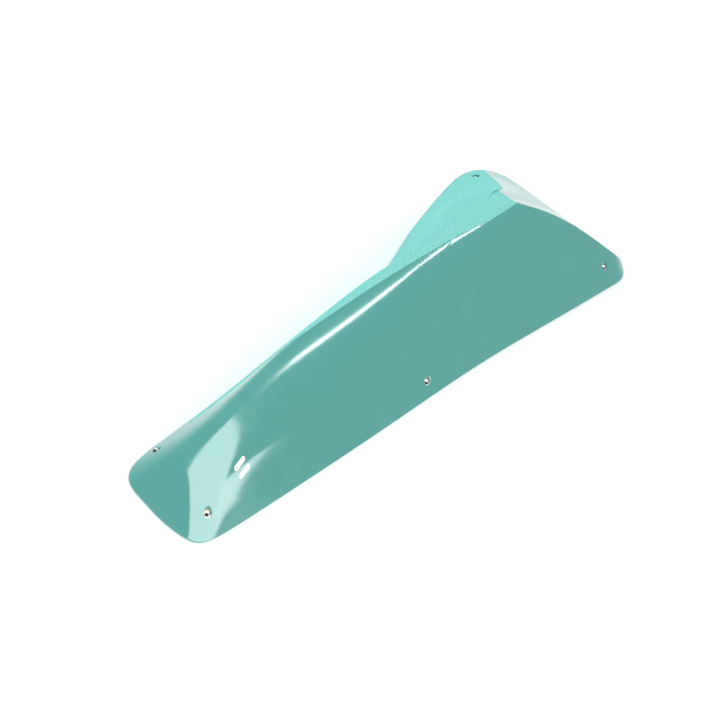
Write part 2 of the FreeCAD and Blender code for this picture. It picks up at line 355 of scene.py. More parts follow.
def linear(code: str) -> tuple[float, float, float, float]:
    """Turn an sRGB hex code into a linear colour.

    Args:
        code: Six hex digits.

    Returns:
        Red, green, blue and alpha.
    """
    shares = [int(code[i:i + 2], 16) / 255 for i in (0, 2, 4)]
    red, green, blue = (s / 12.92 if s <= 0.04045 else ((s + 0.055) / 1.055) ** 2.4 for s in shares)
    return red, green, blue, 1.0


def add(tree: bpy.types.NodeTree, kind: str, inputs: Optional[dict] = None,
        **settings: object) -> bpy.types.Node:
    """Add a node with its settings, socket values and links.

    Args:
        tree: The material's node tree.
        kind: The node's type.
        inputs: A value, or another node's output socket, for each named or numbered input.
        **settings: The node's own properties.

    Returns:
        The node.
    """
    node = tree.nodes.new(kind)
    for name, value in settings.items():
        setattr(node, name, value)
    for name, value in (inputs or {}).items():
        if isinstance(value, bpy.types.NodeSocket):
            tree.links.new(value, node.inputs[name])
        else:
            node.inputs[name].default_value = value
    return node


def ramp(tree: bpy.types.NodeTree, source: bpy.types.NodeSocket,
         stops: tuple[tuple[float, str], ...]) -> bpy.types.NodeSocket:
    """A colour ramp over a pattern.

    Args:
        tree: The material's node tree.
        source: The pattern's socket.
        stops: Places and sRGB hex codes.

    Returns:
        The ramp's colour socket.
    """
    node = add(tree, "ShaderNodeValToRGB", {"Fac": source})
    elements = node.color_ramp.elements
    while len(elements) < len(stops):
        elements.new(0.5)
    for element, (place, code) in zip(elements, stops):
        element.position = place
        element.color = linear(code)
    return node.outputs["Color"]


def new_material(name: str) -> tuple[bpy.types.Material, bpy.types.NodeTree, bpy.types.NodeSocket]:
    """Start a material on object coordinates.

    Args:
        name: The finish's plain name.

    Returns:
        The material, its empty tree and the coordinate socket.
    """
    material = bpy.data.materials.new(name)
    material.use_nodes = True
    tree = material.node_tree
    tree.nodes.clear()
    place = add(tree, "ShaderNodeTexCoord").outputs["Object"]
    return material, tree, place


def close_material(tree: bpy.types.NodeTree, inputs: dict) -> None:
    """End a material with one principled shader."""
    shader = add(tree, "ShaderNodeBsdfPrincipled", inputs)
    add(tree, "ShaderNodeOutputMaterial", {"Surface": shader.outputs["BSDF"]})


@dataclass(frozen=True)
class Gelcoat:
    """Pigmented polyester gelcoat, polished from the mould.

    It gives a clear, hard gloss over one even colour, with the faintest waviness where the glass
    behind it shrank, small clouds in the pigment and a few specks of dust.
    """

    light: str = "4D9E97"
    dark: str = "4A9992"
    speck: str = "2A5F5D"
    ior: float = 1.54
    cloud_mm: float = 60.0
    wave_mm: float = 30.0
    wave_height_mm: float = 0.010
    speck_mm: float = 38.0

    def build(self) -> bpy.types.Material:
        """The finished material."""
        material, tree, place = new_material("polished_gelcoat")
        cloud = add(tree, "ShaderNodeTexNoise", {
            "Vector": place, "Scale": 1000 / self.cloud_mm, "Detail": 3.0, "Roughness": 0.5})
        body = ramp(tree, cloud.outputs["Fac"], ((0.3, self.dark), (0.7, self.light)))
        dust = add(tree, "ShaderNodeTexVoronoi", {"Vector": place, "Scale": 1000 / self.speck_mm})
        spots = add(tree, "ShaderNodeMapRange", {
            "Value": dust.outputs["Distance"], "From Min": 0.010, "From Max": 0.020,
            "To Min": 0.6, "To Max": 0.0})
        colour = add(tree, "ShaderNodeMix", {
            "Factor": spots.outputs["Result"], 6: body, 7: linear(self.speck)}, data_type="RGBA")
        haze = add(tree, "ShaderNodeTexNoise", {
            "Vector": place, "Scale": 1000 / 9.0, "Detail": 4.0, "Roughness": 0.6})
        rough = add(tree, "ShaderNodeMapRange", {
            "Value": haze.outputs["Fac"], "From Min": 0.3, "From Max": 0.7,
            "To Min": 0.07, "To Max": 0.13})
        wave = add(tree, "ShaderNodeTexNoise", {
            "Vector": place, "Scale": 1000 / self.wave_mm, "Detail": 2.0, "Roughness": 0.4})
        bump = add(tree, "ShaderNodeBump", {
            "Height": wave.outputs["Fac"], "Strength": 1.0, "Distance": self.wave_height_mm * MM})
        close_material(tree, {
            "Base Color": colour.outputs[2], "Roughness": rough.outputs["Result"],
            "Normal": bump.outputs["Normal"], "IOR": self.ior})
        return material


@dataclass(frozen=True)
class GripCoat:
    """Fine mineral grit sealed in matte pigmented resin, which scatters light and looks chalky.

    The grit is 0.5 mm and too fine to show from a metre away, so it is drawn at about 1.6 mm.
    """

    light: str = "78CCC5"
    middle: str = "6DC3BC"
    dark: str = "61B7AF"
    grit_mm: float = 1.6
    grit_height_mm: float = 0.30

    def build(self) -> bpy.types.Material:
        """The finished material."""
        material, tree, place = new_material("gritty_resin_coat")
        grain = add(tree, "ShaderNodeTexVoronoi", {
            "Vector": place, "Scale": 1000 / self.grit_mm, "Randomness": 1.0})
        clump = add(tree, "ShaderNodeTexNoise", {
            "Vector": place, "Scale": 1000 / 5.5, "Detail": 4.0, "Roughness": 0.65})
        mixed = add(tree, "ShaderNodeMath", {
            0: grain.outputs["Distance"], 1: clump.outputs["Fac"]}, operation="ADD")
        half = add(tree, "ShaderNodeMath", {0: mixed.outputs[0], 1: 0.5}, operation="MULTIPLY")
        colour = ramp(tree, half.outputs[0], (
            (0.32, self.dark), (0.48, self.middle), (0.66, self.light)))
        bump = add(tree, "ShaderNodeBump", {
            "Height": half.outputs[0], "Strength": 0.8, "Distance": self.grit_height_mm * MM})
        close_material(tree, {
            "Base Color": colour, "Roughness": 0.82, "Normal": bump.outputs["Normal"],
            "IOR": 1.5})
        return material


@dataclass(frozen=True)
class MarkInk:
    """White screen print, slightly raised and satin."""

    colour: str = "F4F7F6"

    def build(self) -> bpy.types.Material:
        """The finished material."""
        material, tree, place = new_material("white_screen_print")
        weave = add(tree, "ShaderNodeTexNoise", {
            "Vector": place, "Scale": 1000 / 0.8, "Detail": 2.0})
        colour = ramp(tree, weave.outputs["Fac"], ((0.3, "E9EEED"), (0.6, self.colour)))
        close_material(tree, {"Base Color": colour, "Roughness": 0.35})
        return material


@dataclass(frozen=True)
class GlassLaminate:
    """Hand-laid chopped glass mat in polyester resin, with strands in every direction.

    The gelcoat's colour glows through it, and the resin stands shiny over the strands.
    """

    resin: str = "6F9E8C"
    strand: str = "B9CDB8"
    deep: str = "4F8178"
    strand_mm: float = 2.2
    turns: tuple[float, ...] = (0.15, 1.2, 2.25)

    def build(self) -> bpy.types.Material:
        """The finished material."""
        material, tree, place = new_material("chopped_glass_laminate")
        layers = []
        for turn in self.turns:
            lay = add(tree, "ShaderNodeMapping", {
                "Vector": place, "Rotation": (0.4 * turn, 0.3 * turn, turn),
                "Scale": (1.0, 9.0, 9.0)})
            layers.append(add(tree, "ShaderNodeTexNoise", {
                "Vector": lay.outputs["Vector"], "Scale": 1000 / (9 * self.strand_mm),
                "Detail": 3.0, "Roughness": 0.55, "Distortion": 0.4}).outputs["Fac"])
        first = add(tree, "ShaderNodeMath", {0: layers[0], 1: layers[1]}, operation="MAXIMUM")
        strands = add(tree, "ShaderNodeMath", {0: first.outputs[0], 1: layers[2]},
                      operation="MAXIMUM")
        colour = ramp(tree, strands.outputs[0], (
            (0.48, self.deep), (0.60, self.resin), (0.74, self.strand)))
        bump = add(tree, "ShaderNodeBump", {
            "Height": strands.outputs[0], "Strength": 0.7, "Distance": 0.6 * MM})
        close_material(tree, {
            "Base Color": colour, "Roughness": 0.34, "Normal": bump.outputs["Normal"],
            "IOR": 1.55})
        return material


class BoardFace(Enum):
    """Which way a board's broad faces look, as a turn about the upright axis in radians."""

    ALONG = 0.0
    SPINE = 1.4464


@dataclass(frozen=True)
class Plywood:
    """Raw birch plywood: long pale grain on its faces and thin plies along its edges."""

    face: BoardFace
    ply_mm: float = 1.4
    pale: str = "D9BD93"
    warm: str = "C6A274"
    dark: str = "9C7648"

    def build(self) -> bpy.types.Material:
        """The finished material."""
        material, tree, place = new_material(f"birch_plywood_{self.face.name.lower()}")
        turned = add(tree, "ShaderNodeMapping", {
            "Vector": place, "Rotation": (0.0, 0.0, self.face.value)}).outputs["Vector"]
        grain_place = add(tree, "ShaderNodeMapping", {
            "Vector": turned, "Scale": (1.0, 1.0, 14.0)}).outputs["Vector"]
        grain = add(tree, "ShaderNodeTexNoise", {
            "Vector": grain_place, "Scale": 1000 / 28, "Detail": 6.0, "Roughness": 0.6,
            "Distortion": 0.6})
        broad = ramp(tree, grain.outputs["Fac"], (
            (0.35, self.dark), (0.50, self.warm), (0.68, self.pale)))
        plies = add(tree, "ShaderNodeTexWave", {
            "Vector": turned, "Scale": 1000 * math.pi / (20 * 2 * self.ply_mm) * 2,
            "Distortion": 0.6, "Detail": 2.0}, bands_direction="X")
        layered = ramp(tree, plies.outputs["Fac"], ((0.42, self.dark), (0.58, self.pale)))
        normal = add(tree, "ShaderNodeNewGeometry").outputs["Normal"]
        turned_normal = add(tree, "ShaderNodeMapping", {
            "Vector": normal, "Rotation": (0.0, 0.0, self.face.value)}, vector_type="NORMAL")
        axes = add(tree, "ShaderNodeSeparateXYZ", {"Vector": turned_normal.outputs["Vector"]})
        facing = add(tree, "ShaderNodeMath", {0: axes.outputs["X"]}, operation="ABSOLUTE")
        edge = add(tree, "ShaderNodeMath", {0: facing.outputs[0], 1: 0.7}, operation="LESS_THAN")
        colour = add(tree, "ShaderNodeMix", {
            "Factor": edge.outputs[0], 6: broad, 7: layered}, data_type="RGBA")
        bump = add(tree, "ShaderNodeBump", {
            "Height": grain.outputs["Fac"], "Strength": 0.5, "Distance": 0.2 * MM})
        close_material(tree, {
            "Base Color": colour.outputs[2], "Roughness": 0.62,
            "Normal": bump.outputs["Normal"]})
        return material


@dataclass(frozen=True)
class Beech:
    """Sawn beech: warm, even timber with short dark flecks and saw marks."""

    pale: str = "C99F70"
    dark: str = "A97B4C"

    def build(self) -> bpy.types.Material:
        """The finished material."""
        material, tree, place = new_material("sawn_beech")
        lay = add(tree, "ShaderNodeMapping", {"Vector": place, "Scale": (1.0, 10.0, 10.0)})
        grain = add(tree, "ShaderNodeTexNoise", {
            "Vector": lay.outputs["Vector"], "Scale": 1000 / 22, "Detail": 6.0,
            "Roughness": 0.62, "Distortion": 0.3})
        flecks = add(tree, "ShaderNodeTexVoronoi", {
            "Vector": lay.outputs["Vector"], "Scale": 1000 / 9})
        mixed = add(tree, "ShaderNodeMath", {
            0: grain.outputs["Fac"], 1: flecks.outputs["Distance"]}, operation="MULTIPLY")
        colour = ramp(tree, mixed.outputs[0], ((0.10, self.dark), (0.38, self.pale)))
        saw = add(tree, "ShaderNodeTexWave", {
            "Vector": place, "Scale": 1000 * math.pi / (20 * 3.0), "Distortion": 1.0},
            bands_direction="X")
        bump = add(tree, "ShaderNodeBump", {
            "Height": saw.outputs["Fac"], "Strength": 0.35, "Distance": 0.1 * MM})
        close_material(tree, {
            "Base Color": colour, "Roughness": 0.66, "Normal": bump.outputs["Normal"]})
        return material


@dataclass(frozen=True)
class TurnedSteel:
    """Stainless steel from the lathe, with fine feed rings and a dull sheen."""

    colour: str = "B9BCBD"

    def build(self) -> bpy.types.Material:
        """The finished material."""
        material, tree, place = new_material("turned_stainless_steel")
        feed = add(tree, "ShaderNodeTexNoise", {
            "Vector": place, "Scale": 1000 / 0.9, "Detail": 3.0})
        rough = add(tree, "ShaderNodeMapRange", {
            "Value": feed.outputs["Fac"], "From Min": 0.3, "From Max": 0.7,
            "To Min": 0.24, "To Max": 0.40})
        colour = ramp(tree, feed.outputs["Fac"], ((0.3, "A4A8AA"), (0.7, self.colour)))
        close_material(tree, {
            "Base Color": colour, "Metallic": 1.0, "Roughness": rough.outputs["Result"]})
        return material


# --------------------------------------------------------------------------------------------
# The shell: gelcoat skin, glass laminate, grip coat, printed mark
# --------------------------------------------------------------------------------------------


@dataclass
class Shell:
    """The moulded shell and what is laid on it. Sizes are millimetres."""

    form: BodyForm
    gelcoat: float = 0.8
    laminate: float = 4.2
    grip: float = 0.6
    grip_ramp: float = 2.2
    grip_sunk: float = 0.25
    grip_lump: float = 0.05
    grip_edge_climb: float = 1.414
    grip_margin: float = 1.5
    mark: float = 0.15
    mark_at: tuple[float, float] = (0.119, 0.163)
    mark_bar: tuple[float, float] = (26.0, 7.0)
    mark_gap: float = 6.0
    mark_turn: float = 20.0
    mouth_r: float = 6.5
    lip: float = 1.8
    ring_gap: float = 2.0
    margin: float = 14.0
    crease_steps: tuple[float, ...] = (0.35, 0.9, 1.8, 3.2, 5.2)
    shift: Array = field(default_factory=lambda: np.zeros(3))

    def grid(self, name: str, x: Array, y: Array, z: Array) -> bpy.types.Object:
        """Add a grid primitive and lay it on given places.

        Args:
            name: The piece's name.
            x: Places along the body, one row of the array per row of the grid.
            y: Places across the body.
            z: Heights.

        Returns:
            The sheet, in millimetres.
        """
        rows, columns = x.shape
        deselect_all()
        bpy.ops.mesh.primitive_grid_add(x_subdivisions=columns - 1, y_subdivisions=rows - 1)
        obj = bpy.context.object
        obj.name = obj.data.name = name
        move_to(obj, np.stack([x, y, z], -1))
        return obj

    def crease(self, row: Callable[[Array], Array], count: int, offset: float) -> Array:
        """Where each row of a sheet meets the end face."""
        low = np.full(count, 0.5 * self.form.length)
        high = np.full(count, 1.06 * self.form.length)
        crease = self.form.root(
            lambda x: self.form.body(x, row(x), offset) - self.form.end(x, row(x), offset),
            low, high)
        # the cut corner has no crease, so its rows carry on the line of the rows beside them
        met = np.flatnonzero(crease < 1.055 * self.form.length)
        first = met[0]
        step = crease[first] - crease[first + 2]
        places = crease[first] + (first - np.arange(first)) * step / 2
        crease[:first] = np.minimum(places, 1.01 * self.form.length)
        return crease

    def sheet(self, name: str, offset: float, rows: tuple[int, int],
              columns: tuple[int, int]) -> bpy.types.Object:
        """The whole outer surface as an open sheet down to the rim's top.

        Args:
            name: The piece's name.
            offset: How far the surface lies inside the outermost one.
            rows: Rows over the front face, and over the ridge and the back.
            columns: Columns over the body and over the end face.

        Returns:
            The sheet, in millimetres.
        """
        form, c = self.form, self.form.curves
        share = np.concatenate([
            np.linspace(-0.035, 0.58, rows[0]), np.linspace(0.58, 1.045, rows[1])[1:]])

        def row(x: Array) -> Array:
            """The place across the body of each row."""
            return c["front"](x) + share * (c["back"](x) - c["front"](x))

        count = len(share)
        crease = self.crease(row, count, offset)
        base = np.minimum(form.body(crease, row(crease), offset), 0.0) - 8.0
        tail = form.root(lambda x: base - form.end(x, row(x), offset), crease,
                         np.full(count, 1.25 * form.length))
        near = np.array(self.crease_steps)
        last = near[-1] + 2.0
        start = np.full(count, -self.margin)
        before = [start + (crease - last - start) * s for s in np.linspace(0, 1, columns[0])]
        about = [crease + step for step in np.concatenate([-near[::-1], [0.0], near])]
        after = [crease + last + (tail - crease - last) * s for s in np.linspace(0, 1, columns[1])]
        x = np.stack(before + about + after, axis=1)
        y = np.stack([row(x[:, i]) for i in range(x.shape[1])], axis=1)
        obj = self.grid(name, x, y, form.height(x, y, offset))
        only(obj)
        bpy.ops.object.mode_set(mode="EDIT")
        bpy.ops.mesh.select_all(action="SELECT")
        bpy.ops.mesh.bisect(plane_co=(0, 0, form.rim_edge), plane_no=(0, 0, 1),
                            clear_inner=True, threshold=1e-4)
        bpy.ops.mesh.select_all(action="SELECT")
        bpy.ops.mesh.remove_doubles(threshold=0.08)
        object_mode()
        places = coordinates(obj)
        places[np.abs(places[:, 2] - form.rim_edge) < 0.1, 2] = form.rim_edge
        move_to(obj, places)
        return obj

    def reach(self, x: Array, y: Array) -> Array:
        """Distance from the nearest screw axis."""
        reaches = [np.hypot(x - along * self.form.length, y - across * self.form.width)
                   for _, along, across in self.form.screws]
        return np.min(reaches, axis=0)

    def open_mouths(self, obj: bpy.types.Object, offset: float, cuts: int = 3) -> None:
        """Subdivide the sheet round each screw, open a round mouth and roll its lip over.

        Args:
            obj: The sheet.
            offset: The sheet's offset from the outermost surface.
            cuts: Cuts in each edge.
        """
        form = self.form
        axes = np.array([(along * form.length, across * form.width)
                         for _, along, across in form.screws])
        outline = coordinates(obj)
        outline = outline[outline[:, 2] < form.rim_edge + 0.05, :2]
        clear = np.array([np.hypot(*(outline - axis).T).min() for axis in axes])
        radii = np.minimum(self.mouth_r, clear - self.ring_gap)
        centres = np.array([p.center[:2] for p in obj.data.polygons])
        select_where(obj, faces=self.reach(*centres.T) < self.mouth_r + self.lip + 7.0)
        bpy.ops.mesh.subdivide(number_cuts=cuts)
        object_mode()
        centres = np.array([p.center[:2] for p in obj.data.polygons])
        inside_mouth = [np.hypot(*(centres - axis).T) < r for axis, r in zip(axes, radii)]
        select_where(obj, faces=np.any(inside_mouth, axis=0))
        bpy.ops.mesh.delete(type="FACE")
        object_mode()
        places = coordinates(obj)
        uses: dict[tuple[int, int], int] = {}
        for face in obj.data.polygons:
            for key in face.edge_keys:
                uses[key] = uses.get(key, 0) + 1
        border = np.unique([key for key, count in uses.items() if count == 1])
        border = border[places[border, 2] > form.rim_edge + 0.05]
        for axis, radius in zip(axes, radii):
            out = places[border, :2] - axis
            far = np.hypot(*out.T)
            near = far < radius + 2.5
            places[border[near], :2] = axis + out[near] * (radius / far[near])[:, None]
        inside = places[:, 2] > form.rim_edge + 1e-3
        x, y = places[inside, 0], places[inside, 1]
        share = np.clip((self.mouth_r + self.lip - self.reach(x, y)) / self.lip, 0.0, 0.93)
        places[inside, 2] = form.height(x, y, offset) - self.lip * (1 - np.sqrt(1 - share ** 2))
        move_to(obj, places)

    def select_border(self, obj: bpy.types.Object, near: Array) -> None:
        """Go to edit mode with only some of the open edges selected and the rest hidden.

        Args:
            obj: The sheet.
            near: One flag per vertex, set where open edges are wanted.
        """
        select_where(obj, vertices=near)
        bpy.ops.mesh.hide(unselected=True)
        bpy.ops.mesh.select_mode(type="EDGE")
        bpy.ops.mesh.select_all(action="DESELECT")
        bpy.ops.mesh.select_non_manifold()

    def rim(self, obj: bpy.types.Object) -> None:
        """Extrude the sheet's outline straight down to the wall."""
        places = coordinates(obj)
        self.select_border(obj, np.abs(places[:, 2] - self.form.rim_edge) < 0.05)
        bpy.ops.mesh.extrude_edges_move(
            TRANSFORM_OT_translate={"value": (0.0, 0.0, -self.form.rim_edge)})
        bpy.ops.mesh.reveal(select=False)
        object_mode()

    def close(self, outer: bpy.types.Object, inner: bpy.types.Object) -> None:
        """Join an outer and an inner sheet into one closed wall.

        Args:
            outer: The outer sheet, which stays.
            inner: The inner sheet, which is used up.
        """
        self.rim(outer)
        self.rim(inner)
        deselect_all()
        inner.select_set(True)
        outer.select_set(True)
        bpy.context.view_layer.objects.active = outer
        bpy.ops.object.join()
        for _, along, across in self.form.screws:
            places = coordinates(outer)
            away = np.hypot(places[:, 0] - along * self.form.length,
                            places[:, 1] - across * self.form.width)
            self.select_border(outer, (away < self.mouth_r + 1.0) & (places[:, 2] > 0.5))
            bpy.ops.mesh.bridge_edge_loops()
            bpy.ops.mesh.reveal(select=False)
            object_mode()
        self.select_border(outer, coordinates(outer)[:, 2] < 0.5)
        bpy.ops.mesh.fill(use_beauty=False)
        bpy.ops.mesh.reveal(select=False)
        bpy.ops.mesh.select_all(action="SELECT")
        bpy.ops.mesh.normals_make_consistent(inside=False)
        object_mode()

    def to_frame(self, obj: bpy.types.Object) -> None:
        """Turn millimetres into metres in the part's frame."""
        move_to(obj, (coordinates(obj) - self.shift) * MM)

    def screw_drills(self, radius: float) -> bpy.types.Object:
        """Upright round cutters through every screw place, as one mesh."""
        made = []
        for _, along, across in self.form.screws:
            deselect_all()
            bpy.ops.mesh.primitive_cylinder_add(
                vertices=96, radius=radius, depth=300.0,
                location=(along * self.form.length, across * self.form.width, 100.0))
            made.append(bpy.context.object)
        deselect_all()
        for obj in made:
            obj.select_set(True)
        bpy.context.view_layer.objects.active = made[0]
        bpy.ops.object.join()
        bpy.ops.object.transform_apply(location=True, rotation=True, scale=True)
        return made[0]

    def drill(self, obj: bpy.types.Object, radius: float) -> None:
        """Cut the screw holes through a piece."""
        tool = self.screw_drills(radius)
        apply(obj, "BOOLEAN", operation="DIFFERENCE", object=tool, solver="EXACT")
        bpy.data.objects.remove(tool)

    def build_gelcoat(self, skin: bpy.types.Material) -> bpy.types.Object:
        """The glossy outside skin.

        Args:
            skin: The gelcoat's material.

        Returns:
            The piece.
        """
        obj = self.sheet("gelcoat_outer_skin", 0.0, (62, 82), (205, 22))
        places = coordinates(obj)
        low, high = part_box("gelcoat_skin")
        middle = (places.min(0) + places.max(0)) / 2
        cad_middle = np.array((low + high) / 2) / MM
        self.shift = np.array([middle[0] - cad_middle[0], middle[1] - cad_middle[1], 0.0])
        log.info("shift %s", self.shift.round(3))
        self.open_mouths(obj, 0.0)
        inner = self.sheet("gelcoat_inner_side", self.gelcoat, (62, 82), (205, 22))
        self.open_mouths(inner, self.gelcoat)
        self.close(obj, inner)
        self.to_frame(obj)
        obj.data.materials.clear()
        obj.data.materials.append(skin)
        finish(obj, "gelcoat", "gelcoat_skin")
        return obj

    def build_laminate(self, glass: bpy.types.Material,
                       skin: bpy.types.Material) -> bpy.types.Object:
        """The glass laminate behind the skin.

        Args:
            glass: The laminate's material.
            skin: The gelcoat's material, which lines the screw recesses.

        Returns:
            The piece.
        """
        obj = self.sheet("glass_laminate_wall", self.gelcoat, (62, 82), (205, 22))
        self.open_mouths(obj, self.gelcoat)
        inside = self.gelcoat + self.laminate
        inner = self.sheet("laminate_inner_side", inside, (62, 82), (205, 22))
        self.open_mouths(inner, inside)
        self.close(obj, inner)
        self.to_frame(obj)
        obj.data.materials.clear()
        obj.data.materials.append(glass)
        obj.data.materials.append(skin)
        for face in obj.data.polygons:
            for _, along, across in self.form.screws:
                axis = (np.array([along * self.form.length, across * self.form.width])
                        - self.shift[:2]) * MM
                reach = math.dist(face.center[:2], axis)
                if reach < (self.mouth_r + 0.1) * MM:
                    face.material_index = 1
        finish(obj, "laminate", "laminate_shell")
        return obj

    def build_grip(self, grit: bpy.types.Material) -> bpy.types.Object:
        """The gritty coat on the back of the ridge and on the lobe.

        Args:
            grit: The coat's material.

        Returns:
            The piece.
        """
        form, c = self.form, self.form.curves
        share = np.concatenate([[0.0, 0.004, 0.010, 0.018, 0.03], np.linspace(0.045, 1.02, 116)])

        def row(x: Array) -> Array:
            """The place across the body of each row."""
            limit = c["grit"](x)
            return limit + share * (c["back"](x) - limit)

        crease = self.crease(row, len(share), 0.0) - 0.4
        start = form.grit_line[0][0] * form.length
        near = np.array([0.0, 0.5, 1.1, 2.0, 3.5])
        first = [np.full(len(share), start) + step for step in near]
        middle = [start + 6 + (crease - 6 - start - 6) * s for s in np.linspace(0, 1, 470)]
        last = [crease - step for step in near[::-1]]
        x = np.stack(first + middle + last, axis=1)
        y = np.stack([row(x[:, i]) for i in range(x.shape[1])], axis=1)
        edge = np.minimum.reduce([
            x - start, crease[:, None] - x, (y - c["grit"](x)) * self.grip_edge_climb,
            form.body(x, y) - 1.5 * self.grip_margin])
        rise = np.sqrt(1 - (1 - np.clip(edge / self.grip_ramp, 0.0, 1.0)) ** 2)
        lump = np.sin(x * 1.31 + 2.1 * np.sin(y * 0.83)) * np.sin(y * 1.47 + 1.7 * np.sin(x * 0.71))
        build_up = -self.grip_sunk + (self.grip + 0.20 + self.grip_lump * lump) * rise
        climb_x = np.gradient(form.body(x, y), axis=1) / np.gradient(x, axis=1)
        tilt = np.hypot(1.0, np.clip(np.abs(climb_x), 0, 4))
        z = form.rim_edge + form.body(x, y) + build_up * tilt
        obj = self.grid("grip_coat_layer", x, y, z)
        only(obj)
        bpy.ops.object.mode_set(mode="EDIT")
        bpy.ops.mesh.select_all(action="SELECT")
        bpy.ops.mesh.bisect(plane_co=(0, 0, form.rim_edge + 0.5), plane_no=(0, 0, 1),
                            clear_inner=True, threshold=1e-4)
        object_mode()
        apply(obj, "SOLIDIFY", thickness=0.3, offset=-1.0)
        self.drill(obj, self.mouth_r + 1.2)
        self.to_frame(obj)
        obj.data.materials.clear()
        obj.data.materials.append(grit)
        finish(obj, "grip_coat", "grip_texture", angle=50.0)
        return obj

    def build_mark(self, ink: bpy.types.Material) -> bpy.types.Object:
        """Two plain rounded bars printed beside each other near the nose.

        Args:
            ink: The print's material.

        Returns:
            The piece.
        """
        length, width = self.mark_bar
        turn = math.radians(self.mark_turn)
        across = np.sin(np.linspace(-math.pi / 2, math.pi / 2, 17)) * width / 2
        half = length / 2 - width / 2 + np.sqrt(np.maximum((width / 2) ** 2 - across ** 2, 0.0))
        bars = []
        for side in (-1, 1):
            u = half[:, None] * np.linspace(-1, 1, 41)[None, :]
            v = across[:, None] + side * (width + self.mark_gap) / 2 + 0.0 * u
            x = self.mark_at[0] * self.form.length + u * math.cos(turn) - v * math.sin(turn)
            y = self.mark_at[1] * self.form.width + u * math.sin(turn) + v * math.cos(turn)
            bars.append(self.grid(f"mark_bar_{side}", x, y, self.form.height(x, y) + self.mark))
        deselect_all()
        for bar in bars:
            bar.select_set(True)
        bpy.context.view_layer.objects.active = bars[0]
        bpy.ops.object.join()
        obj = bars[0]
        obj.name = obj.data.name = "printed_two_bar_mark"
        apply(obj, "SOLIDIFY", thickness=0.4, offset=-1.0)
        self.to_frame(obj)
        obj.data.materials.clear()
        obj.data.materials.append(ink)
        finish(obj, "mark_ink", "printed_mark")
        return obj


# --------------------------------------------------------------------------------------------
# Screw cups
# --------------------------------------------------------------------------------------------


@dataclass
class ScrewCups:
    """Turned steel cups at the bottom of the screw recesses. Radii and heights in millimetres."""

    names: tuple[str, ...]
    segments: int = 72
    # radius and height from the cup's rim, going round the wall's section
    profile: tuple[tuple[float, float], ...] = (
        (6.45, -7.0), (6.45, -0.7), (6.33, -0.35), (6.05, -0.08), (5.70, 0.0), (5.05, 0.0),
        (4.75, -0.10), (4.55, -0.32), (3.60, -1.22), (2.92, -1.90), (2.75, -2.15),
        (2.75, -6.8), (2.95, -7.0),
    )

    def turn(self) -> bpy.types.Object:
        """One cup at the origin, drawn out ring by ring from a circle."""
        deselect_all()
        first_r, first_z = self.profile[0]
        bpy.ops.mesh.primitive_circle_add(
            vertices=self.segments, radius=first_r * MM, location=(0, 0, first_z * MM))
        obj = bpy.context.object
        bpy.ops.object.transform_apply(location=True, rotation=True, scale=True)
        bpy.ops.object.mode_set(mode="EDIT")
        bpy.ops.mesh.select_mode(type="EDGE")
        bpy.ops.mesh.select_all(action="SELECT")
        before_r, before_z = first_r, first_z
        for r, z in self.profile[1:] + self.profile[:1]:
            bpy.ops.mesh.extrude_edges_move(
                TRANSFORM_OT_translate={"value": (0, 0, (z - before_z) * MM)})
            bpy.ops.transform.resize(value=(r / before_r, r / before_r, 1.0),
                                     center_override=(0, 0, z * MM))
            before_r, before_z = r, z
        bpy.ops.mesh.select_all(action="SELECT")
        bpy.ops.mesh.remove_doubles(threshold=0.01 * MM)
        bpy.ops.mesh.normals_make_consistent(inside=False)
        object_mode()
        return obj

    def build(self, steel: bpy.types.Material) -> None:
        """Place a cup in each recess.

        Args:
            steel: The cups' material.
        """
        pattern = self.turn()
        for name in self.names:
            node = f"{name}_screw_cup"
            low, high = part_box(node)
            cup = pattern.copy()
            cup.data = pattern.data.copy()
            cup.name = cup.data.name = f"{name}_turned_cup"
            bpy.context.scene.collection.objects.link(cup)
            middle = (low + high) / 2
            cup.data.transform(Matrix.Translation((middle.x, middle.y, high.z)))
            cup.data.materials.append(steel)
            finish(cup, "cup_steel", node, angle=28.0)
        bpy.data.objects.remove(pattern)


@dataclass
class Woodwork:
    """The ribs, spine and blocks inside the shell, which keep their own solids."""

    nodes: dict[str, bpy.types.Object]

    def dress(self) -> None:
        """Give each board its timber."""
        ribs = Plywood(BoardFace.ALONG).build()
        spine = Plywood(BoardFace.SPINE).build()
        beech = Beech().build()
        for name, obj in self.nodes.items():
            if name.endswith("_rib"):
                finish_with = ribs
            elif name.endswith("_spine"):
                finish_with = spine
            elif name.endswith("_block"):
                finish_with = beech
            else:
                continue
            obj.data.materials.clear()
            obj.data.materials.append(finish_with)
            log.info("%s: %s", name, finish_with.name)


# --------------------------------------------------------------------------------------------
# Studio
# --------------------------------------------------------------------------------------------


class LightUse(Enum):
    """What a light is for: reflections on gloss, or the light on matte surfaces."""

    SHEEN = "sheen"
    BODY = "body"


@dataclass(frozen=True)
class SoftBox:
    """A flat area light given by its middle, its two side directions and its brightness."""

    name: str
    middle: tuple[float, float, float]
    along: tuple[float, float, float]
    up: tuple[float, float, float]
    brightness: float
    use: LightUse

    def build(self) -> None:
        """Add the light, facing the side that along x up points to."""
        along, up = Vector(self.along), Vector(self.up)
        data = bpy.data.lights.new(self.name, "AREA")
        data.shape = "RECTANGLE"
        data.size, data.size_y = along.length, up.length
        data.energy = 4 * along.length * up.length * self.brightness
        lamp = bpy.data.objects.new(self.name, data)
        side = along.normalized()
        back = side.cross(up.normalized())
        rows = Matrix((side, up.normalized(), back)).transposed()
        lamp.matrix_world = Matrix.Translation(self.middle) @ rows.to_4x4()
        lamp.visible_diffuse = self.use is LightUse.BODY
        lamp.visible_glossy = self.use is LightUse.SHEEN
        bpy.context.scene.collection.objects.link(lamp)


